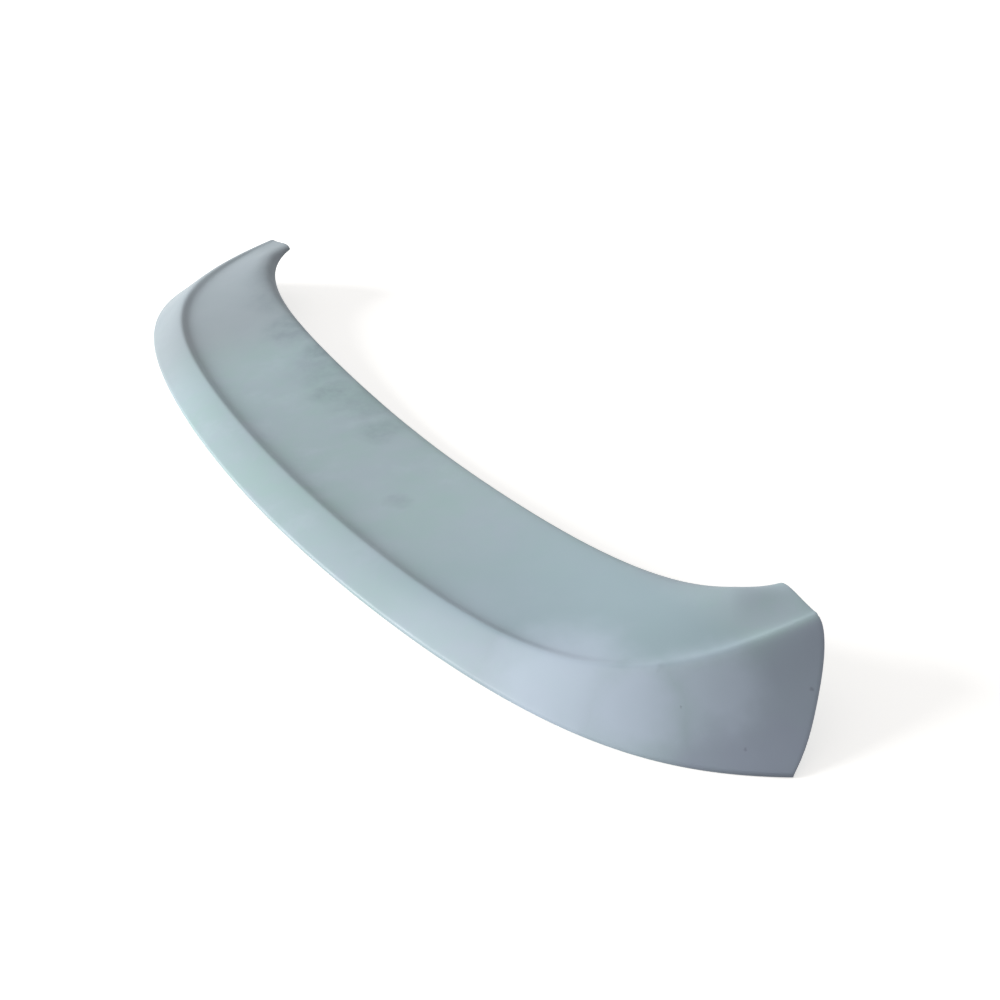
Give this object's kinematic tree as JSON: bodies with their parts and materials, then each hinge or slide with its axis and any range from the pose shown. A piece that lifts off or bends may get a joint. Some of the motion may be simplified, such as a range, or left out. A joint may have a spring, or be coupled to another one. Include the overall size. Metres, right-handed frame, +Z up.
{
  "type": "rear spoiler",
  "caption": "Crescent-shaped rear spoiler for a boot lid: a thin moulded shell with a hollow deck, a raised lip, deep wrap-round ends, and a bonding flange and screw bosses underneath.",
  "frame": {"origin": "on the middle plane, in the middle of the width of the bonding flange's underside, which is the surface it lies on", "axes": "+X across the car to its right side, +Y to the front of the car, +Z up"},
  "size_m": [1.2362, 0.281, 0.0778],
  "materials": {
    "shell": "blue-grey primer, matt to satin"
  },
  "bodies": {
    "root": {"spoiler": "shell"}
  },
  "joints": []
}
